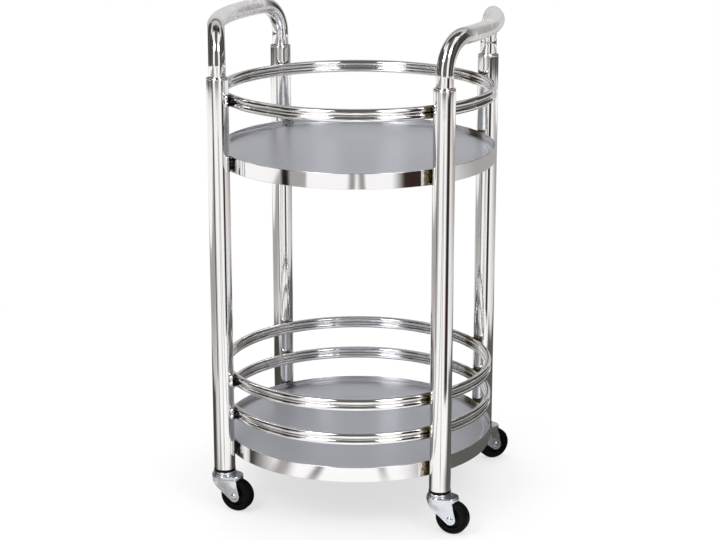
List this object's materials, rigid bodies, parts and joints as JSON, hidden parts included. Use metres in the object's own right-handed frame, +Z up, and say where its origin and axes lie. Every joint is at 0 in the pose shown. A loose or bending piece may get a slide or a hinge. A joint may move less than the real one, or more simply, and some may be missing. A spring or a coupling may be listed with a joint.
{
  "type": "serving trolley",
  "caption": "Round two-tier serving trolley in polished steel tube, with rails round both shelves, bowed push handles on two sides and swivel casters.",
  "frame": {"origin": "on the floor under the centre of the two round shelves", "axes": "+Z up; +X to the right-hand handle; the front faces -Y"},
  "size_m": [0.4291, 0.414, 0.7423],
  "materials": {
    "polished_steel": "mirror polished stainless steel tube and sheet",
    "satin_steel": "satin rolled stainless steel sheet with soft reflections",
    "zinc_plate": "bright bluish zinc plate on pressed sheet",
    "rivet_steel": "bright plated solid steel",
    "black_plastic": "moulded black plastic, slightly satin",
    "rubber": "matt black solid rubber"
  },
  "bodies": {
    "frame": {"post_front_left": "polished_steel", "post_front_right": "polished_steel", "post_rear_left": "polished_steel", "post_rear_right": "polished_steel", "collar_front_left": "polished_steel", "collar_front_right": "polished_steel", "collar_rear_left": "polished_steel", "collar_rear_right": "polished_steel", "handle_left": "polished_steel", "handle_right": "polished_steel", "top_rail_upper": "polished_steel", "top_rail_lower": "polished_steel", "middle_rail_upper": "polished_steel", "middle_rail_lower": "polished_steel", "bottom_rail_upper": "polished_steel", "bottom_rail_lower": "polished_steel", "rail_seats": "polished_steel", "shelf_seats": "polished_steel", "upper_shelf_band": "polished_steel", "upper_shelf_tray": "satin_steel", "lower_shelf_band": "polished_steel", "lower_shelf_tray": "satin_steel", "caster_socket_front_left": "black_plastic", "caster_stem_front_left": "rivet_steel", "caster_cup_front_left": "zinc_plate", "caster_socket_front_right": "black_plastic", "caster_stem_front_right": "rivet_steel", "caster_cup_front_right": "zinc_plate", "caster_socket_rear_left": "black_plastic", "caster_stem_rear_left": "rivet_steel", "caster_cup_rear_left": "zinc_plate", "caster_socket_rear_right": "black_plastic", "caster_stem_rear_right": "rivet_steel", "caster_cup_rear_right": "zinc_plate"},
    "swivel_front_left": {"caster_balls_front_left": "rivet_steel", "caster_fork_front_left": "zinc_plate", "caster_axle_front_left": "rivet_steel", "caster_sleeve_front_left": "zinc_plate"},
    "wheel_front_left": {"wheel_hub_front_left": "black_plastic", "wheel_tyre_front_left": "rubber"},
    "swivel_front_right": {"caster_balls_front_right": "rivet_steel", "caster_fork_front_right": "zinc_plate", "caster_axle_front_right": "rivet_steel", "caster_sleeve_front_right": "zinc_plate"},
    "wheel_front_right": {"wheel_hub_front_right": "black_plastic", "wheel_tyre_front_right": "rubber"},
    "swivel_rear_left": {"caster_balls_rear_left": "rivet_steel", "caster_fork_rear_left": "zinc_plate", "caster_axle_rear_left": "rivet_steel", "caster_sleeve_rear_left": "zinc_plate"},
    "wheel_rear_left": {"wheel_hub_rear_left": "black_plastic", "wheel_tyre_rear_left": "rubber"},
    "swivel_rear_right": {"caster_balls_rear_right": "rivet_steel", "caster_fork_rear_right": "zinc_plate", "caster_axle_rear_right": "rivet_steel", "caster_sleeve_rear_right": "zinc_plate"},
    "wheel_rear_right": {"wheel_hub_rear_right": "black_plastic", "wheel_tyre_rear_right": "rubber"}
  },
  "joints": [
    {"name": "front_left_swivel", "type": "hinge", "parent": "frame", "child": "swivel_front_left", "pos_m": [-0.167, -0.151, 0.055], "axis": [0, 0, 1], "continuous": true},
    {"name": "front_left_spin", "type": "hinge", "parent": "swivel_front_left", "child": "wheel_front_left", "pos_m": [-0.1462, -0.15392, 0.025], "axis": [0.1392, 0.9903, 0], "continuous": true},
    {"name": "front_right_swivel", "type": "hinge", "parent": "frame", "child": "swivel_front_right", "pos_m": [0.167, -0.151, 0.055], "axis": [0, 0, 1], "continuous": true},
    {"name": "front_right_spin", "type": "hinge", "parent": "swivel_front_right", "child": "wheel_front_right", "pos_m": [0.1878, -0.15392, 0.025], "axis": [0.1392, 0.9903, 0], "continuous": true},
    {"name": "rear_left_swivel", "type": "hinge", "parent": "frame", "child": "swivel_rear_left", "pos_m": [-0.167, 0.151, 0.055], "axis": [0, 0, 1], "continuous": true},
    {"name": "rear_left_spin", "type": "hinge", "parent": "swivel_rear_left", "child": "wheel_rear_left", "pos_m": [-0.18603, 0.15987, 0.025], "axis": [-0.4226, -0.9063, 0], "continuous": true},
    {"name": "rear_right_swivel", "type": "hinge", "parent": "frame", "child": "swivel_rear_right", "pos_m": [0.167, 0.151, 0.055], "axis": [0, 0, 1], "continuous": true},
    {"name": "rear_right_spin", "type": "hinge", "parent": "swivel_rear_right", "child": "wheel_rear_right", "pos_m": [0.18309, 0.1645, 0.025], "axis": [-0.6428, 0.766, 0], "continuous": true}
  ]
}
